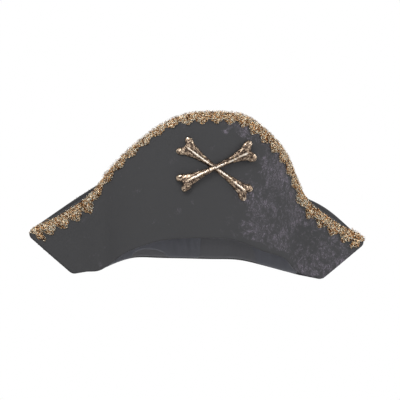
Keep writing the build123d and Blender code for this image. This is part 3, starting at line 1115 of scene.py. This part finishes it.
def shell(columns, rows, low, inset, drop, bulge, folds=None):
    """Rings of a cap: up the wall, then in over the domed top, dropped a little, to its middle."""
    around = np.linspace(-1, 3, columns, endpoint=False)
    top = CROWN_TOP + CROWN_WALL - drop
    rings = []
    for v in np.linspace(0, 1, rows):
        z = low(around) + (top - low(around)) * v
        ring = crown_wall(around, z, inset)
        if folds is not None:
            ring = ring - folds(around, z)[:, None] * unit(ring * np.array([0.3, 1, 0]))
        rings.append(ring)
    rim = rings[-1]
    for reach in np.linspace(1, 0, 22)[1:-1]:
        ring = rim * np.array([reach, reach, 1])
        ring[:, 2] += bulge * (1 - reach ** 2)
        rings.append(ring)
    verts = np.concatenate(rings + [[[0, 0, top + bulge]]])
    faces = grid_faces(len(rings), columns, closed=True)
    last = (len(rings) - 1) * columns
    faces += [(last + c, last + (c + 1) % columns, len(verts) - 1) for c in range(columns)]
    return verts, faces


def round_shoulder(obj):
    """Takes the edge off the turn from the walls into the top."""
    relax(obj, 14, weigh(obj, "shoulder", lambda z: smoothstep(60 * MM, 85 * MM, z)))


SLACK_CLOTH = {
    "quality": 6, "mass": 0.25, "shrink_min": -0.015,
    "tension_stiffness": 25, "compression_stiffness": 25, "bending_stiffness": 3.0,
    "use_pressure": True, "uniform_pressure_force": 1.5,
}


def slump(obj, pinned_below, frames, furthest):
    """Lets the slack cloth find its own creases; no point moves more than furthest."""
    before = np.array([v.co for v in obj.data.vertices])
    cloth = obj.modifiers.new("settle", "CLOTH")
    cloth.settings.vertex_group_mass = weigh(obj, "sewn", lambda z: z < pinned_below)
    for setting, value in SLACK_CLOTH.items():
        setattr(cloth.settings, setting, value)
    cloth.settings.effector_weights.gravity = 0
    cloth.collision_settings.use_collision = False
    cloth.point_cache.frame_start = 1
    cloth.point_cache.frame_end = frames
    scene = bpy.context.scene
    for step in range(1, frames + 1):
        scene.frame_set(step)
    bake_modifiers(obj)
    scene.frame_set(1)
    moved = np.array([v.co for v in obj.data.vertices]) - before
    far = np.linalg.norm(moved, axis=1, keepdims=True)
    moved *= furthest * np.tanh(far / furthest) / np.maximum(far, 1e-9)
    move_vertices(obj.data, before + moved)


def split_off(source, name, material, keep_face):
    """A new object with the faces of source for which keep_face(centre, normal) holds."""
    work = bmesh.new()
    work.from_mesh(source.data)
    gone = [f for f in work.faces if not keep_face(f.calc_center_median(), f.normal)]
    bmesh.ops.delete(work, geom=gone, context="FACES")
    obj = make_mesh(name, [], [], material)
    work.to_mesh(obj.data)
    work.free()
    return obj


def crown():
    verts, faces = shell(200, 34, lambda a: foot(a, 2.5 * MM), inset=0, drop=0, bulge=6 * MM)
    whole = fix_normals(make_mesh("crown_whole", verts, faces, CROWN_CLOTH))
    round_shoulder(whole)
    slump(whole, pinned_below=30 * MM, frames=20, furthest=5 * MM)
    parts = {
        "crown_front": lambda c, n: c.y < 0 and n.z < 0.6,
        "crown_rear": lambda c, n: c.y >= 0 and n.z < 0.6,
        "crown_top": lambda c, n: n.z >= 0.6,
    }
    for name, chosen in parts.items():
        part = split_off(whole, f"{name}_felt", CROWN_CLOTH, chosen)
        thicken(part, CROWN_WALL)
        finish_piece(part, "crown_cloth", name)
    bpy.data.objects.remove(whole)


crown()


def lining_foot(around):
    """The satin hangs to the hem at the back but for two places, and stops higher in front."""
    x = hem_x(around)
    lens = 9.5 * MM * np.sqrt(np.clip(1 - ((x + 50.5 * MM) / (25.5 * MM)) ** 2, 0, 1))
    drawn_up = 31 * MM * bump_between(x, 21 * MM, 86 * MM, 3 * MM)
    behind = 0.5 * MM + np.maximum(lens, drawn_up)
    ahead = 16 * MM + 2.5 * MM * np.sin(x * 48)
    return foot(around, 0) + np.where(around > 1, behind, ahead)


def satin_folds(around, z):
    """How far the gathered satin stands in from its wall."""
    x = hem_x(around)
    close = 0.35 + 0.65 * bump_between(x, -16 * MM, 22 * MM, 6 * MM)
    fold = np.sin(x * 640 + z * 25) * 0.6 + np.sin(x * 270 + 1.3) * 0.5
    return 0.3 * MM * close * (1 + fold) * (1 - smoothstep(0.9, 1.0, abs(sideways(around))))


def crown_lining():
    """Gathered satin inside the felt, hanging a little below its top."""
    verts, faces = shell(
        420, 40, lining_foot, inset=2.9 * MM, drop=9 * MM, bulge=5 * MM, folds=satin_folds,
    )
    lining = fix_normals(make_mesh("satin_lining", verts, faces, SATIN))
    round_shoulder(lining)
    thicken(lining, 0.3 * MM)
    finish_piece(lining, "satin", "crown_lining")
    return lining


def band_foot(around, above):
    """Foot of the sweatband, which is sewn in a little higher on the front."""
    return foot(around, above + 3.5 * MM * np.maximum(np.cos(around * math.pi / 2), 0))


def sweatband():
    """Ribbed ribbon round the inside of the opening, top edge free, lower edge stitched."""
    columns, rows = 420, 16
    around = np.linspace(-1, 3, columns, endpoint=False)
    verts = []
    for v in np.linspace(0, 1, rows):
        verts.extend(crown_wall(around, band_foot(around, 1.2 * MM) + BAND_WIDTH * v, 1.7 * MM))
    faces = grid_faces(rows, columns, closed=True)
    band = fix_normals(make_mesh("sweatband_ribbon", verts, faces, BAND_CLOTH))
    thicken(band, 0.6 * MM)
    finish_piece(band, "grey_band", "sweatband")
    threads = Threads()
    for mark in np.arange(-0.93, 2.93, 0.022):
        if abs(mark - 1) < 0.08:     # none in the corners of the opening
            continue
        a = np.linspace(mark, mark + 0.011, 4)
        hem = band_foot(a, 3.0 * MM)
        line = crown_wall(a, hem, 2.15 * MM)
        line[[0, -1]] = crown_wall(a, hem, 1.9 * MM)[[0, -1]]
        threads.add(line, -unit(line * np.array([0.2, 1, 0])), 0.2 * MM)
    threads.build("sweatband_stitches", BLACK_THREAD, "black_thread")
    return band


satin_lining = crown_lining()
sweatband()


# ---- floor, light and camera ----
def pale_floor():
    look = Look("studio_floor", Roughness=0.6)
    look.set("Base Color", look.ramp(look.noise(1.5), (0.3, 0.86), (0.7, 0.9)))
    size = 12.0
    verts = [(x, y, -1.0) for x, y in ((-size, -size), (size, -size), (size, size), (-size, size))]
    make_mesh("studio_floor", verts, [(0, 1, 2, 3)], look.material)


def soft_world(lit, seen):
    """A room of light and dark panels for the light and the glints, and a plain white one to look at."""
    world = bpy.data.worlds.new("studio")
    bpy.context.scene.world = world
    tree = NodeTree(world)
    place = tree.node("TexCoord").outputs["Generated"]
    panels = tree.node("TexNoise", Vector=place, Scale=2.4, Detail=0.5).outputs["Fac"]
    spread = tree.node(
        "MapRange", Value=panels, From_Min=0.4, From_Max=0.6, To_Min=lit * 0.2, To_Max=lit * 1.8,
    )
    looked_at = tree.node("LightPath").outputs["Is Camera Ray"]
    strength = tree.node("Mix", Factor=looked_at, A=spread.outputs["Result"], B=seen)
    room = tree.nodes["Background"].inputs
    tree.feed(room["Color"], (1, 1, 1, 1))
    tree.feed(room["Strength"], strength.outputs["Result"])


def softbox(name, place, target, size, power):
    light = bpy.data.lights.new(name, "AREA")
    light.shape = "RECTANGLE"
    light.size, light.size_y = size
    light.energy = power
    obj = add_object(name, light)
    obj.location = place
    obj.rotation_euler = (Vector(target) - Vector(place)).to_track_quat("-Z", "Y").to_euler()


ASIDE, ABOVE = 3.1 * MM, 61.0 * MM     # the middle of the picture, from the origin


def photo_camera(azimuth, elevation, roll, distance, lens):
    """Stands in front of the hat, to its left, below its hem."""
    a, e = math.radians(azimuth), math.radians(elevation)
    back = Vector((math.sin(a) * math.cos(e), -math.cos(a) * math.cos(e), math.sin(e)))
    right = Vector((math.cos(a), math.sin(a), 0))
    up = back.cross(right)
    target = right * ASIDE + up * ABOVE
    data = bpy.data.cameras.new("photo_camera")
    data.lens, data.sensor_width = lens, 36
    data.clip_start, data.clip_end = 0.05, 20
    camera = add_object("photo_camera", data)
    camera.location = target + back * distance
    rolled = Quaternion((0, 0, 1), math.radians(roll))
    camera.rotation_euler = (back.to_track_quat("Z", "Y") @ rolled).to_euler()
    bpy.context.scene.camera = camera


pale_floor()
soft_world(0.55, 1.0)
softbox("key_light", (-0.7, -1.1, 1.0), (0, 0, 0.06), (0.7, 0.7), 13)
softbox("side_light", (1.3, -0.5, 0.5), (0, 0, 0.06), (0.4, 0.9), 7)
softbox("low_light", (-0.2, -1.3, -0.2), (0, 0, 0.04), (1.2, 0.3), 3)
softbox("back_light", (0.3, 1.2, 0.7), (0, 0, 0.08), (0.9, 0.5), 8)
photo_camera(azimuth=-14, elevation=-8, roll=-0.5, distance=6.0, lens=430)
bpy.context.scene.view_settings.view_transform = "Standard"
bpy.context.scene.view_settings.look = "None"
